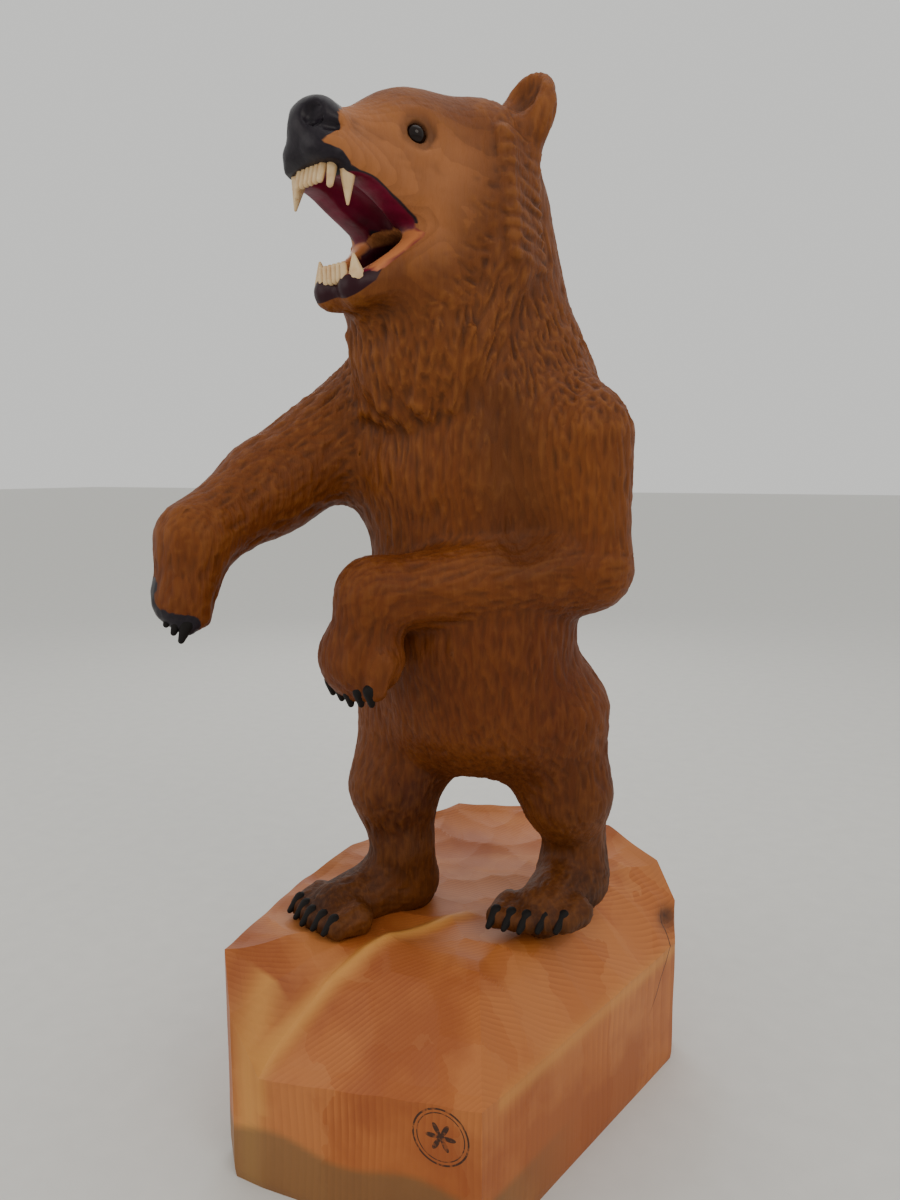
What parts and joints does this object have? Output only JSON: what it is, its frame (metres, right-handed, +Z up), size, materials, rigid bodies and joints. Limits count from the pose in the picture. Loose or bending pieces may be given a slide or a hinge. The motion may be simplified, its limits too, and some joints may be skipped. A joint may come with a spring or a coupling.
{
  "type": "chainsaw carved bear",
  "caption": "Standing roaring bear carved with a chainsaw from one log together with its irregular plinth, stained brown, with painted nose, teeth and claws and glass eyes",
  "frame": {"origin": "centre of the plinth's flat underside", "axes": "+Z up, -Y is the way the bear's body faces, +X is the bear's left"},
  "size_m": [0.3376, 0.3746, 0.8165],
  "materials": {
    "stained_softwood": "carved softwood, brown stain, clear sealer",
    "eye_glass": "polished dark glass, opaque"
  },
  "bodies": {
    "root": {"carved_bear_and_plinth": "stained_softwood", "left_eye": "eye_glass", "right_eye": "eye_glass"}
  },
  "joints": []
}
